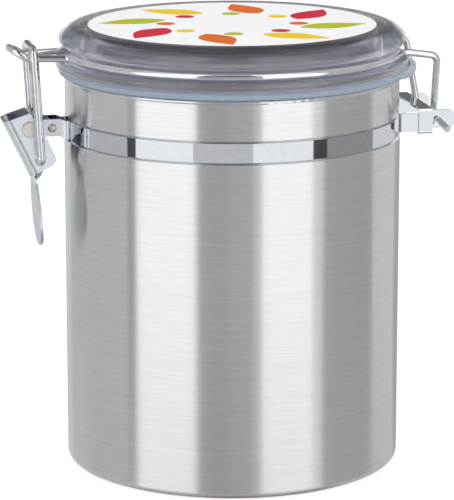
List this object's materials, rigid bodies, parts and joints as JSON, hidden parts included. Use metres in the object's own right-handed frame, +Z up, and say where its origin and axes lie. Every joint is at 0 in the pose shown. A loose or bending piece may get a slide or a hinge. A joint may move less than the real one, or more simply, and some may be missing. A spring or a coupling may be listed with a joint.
{
  "type": "food canister",
  "caption": "Upright steel kitchen canister with a clear push-in lid, sealing ring, wire hinge and over-centre wire clamp with a thumb lever.",
  "frame": {"origin": "centre of the base, on the surface the canister stands on", "axes": "+Z up along the canister's axis, +X toward the lid hinge, -X toward the clamp, Y = 0 is the mirror plane"},
  "size_m": [0.1702, 0.1328, 0.1672],
  "materials": {
    "body_steel": "brushed round the body",
    "band_chrome": "polished",
    "wire_chrome": "polished",
    "lever_chrome": "satin",
    "rivet_nickel": "satin, warm",
    "lid_acrylic": "clear, smoky tint",
    "gasket_silicone": "translucent",
    "label_card": "printed card"
  },
  "bodies": {
    "canister": {"body": "body_steel", "band_front": "band_chrome", "band_rear": "band_chrome", "arm_rivet": "rivet_nickel", "lever_rivet": "rivet_nickel", "lever_washers": "lever_chrome", "hinge_bridge": "band_chrome"},
    "clamp_lever": {"lever": "lever_chrome"},
    "loop": {"clamp_loop": "wire_chrome"},
    "lid_set": {"lid": "lid_acrylic", "lid_gasket": "gasket_silicone", "lid_label": "label_card", "lid_wire": "wire_chrome"}
  },
  "joints": [
    {"name": "lever_pivot", "type": "hinge", "parent": "canister", "child": "clamp_lever", "pos_m": [-0.0781, 0, 0.1308], "axis": [0, 1, 0], "range_deg": [0, 110]},
    {"name": "loop_swing", "type": "hinge", "parent": "clamp_lever", "child": "loop", "pos_m": [-0.0744, 0, 0.1186], "axis": [0, 1, 0], "range_deg": [-85, 0]},
    {"name": "lid_hinge", "type": "hinge", "parent": "canister", "child": "lid_set", "pos_m": [0.0758, 0, 0.1308], "axis": [0, 1, 0], "range_deg": [0, 200]}
  ],
  "couplings": [
    {"joint": "loop_swing", "follows": "lever_pivot", "ratio": -0.76}
  ]
}
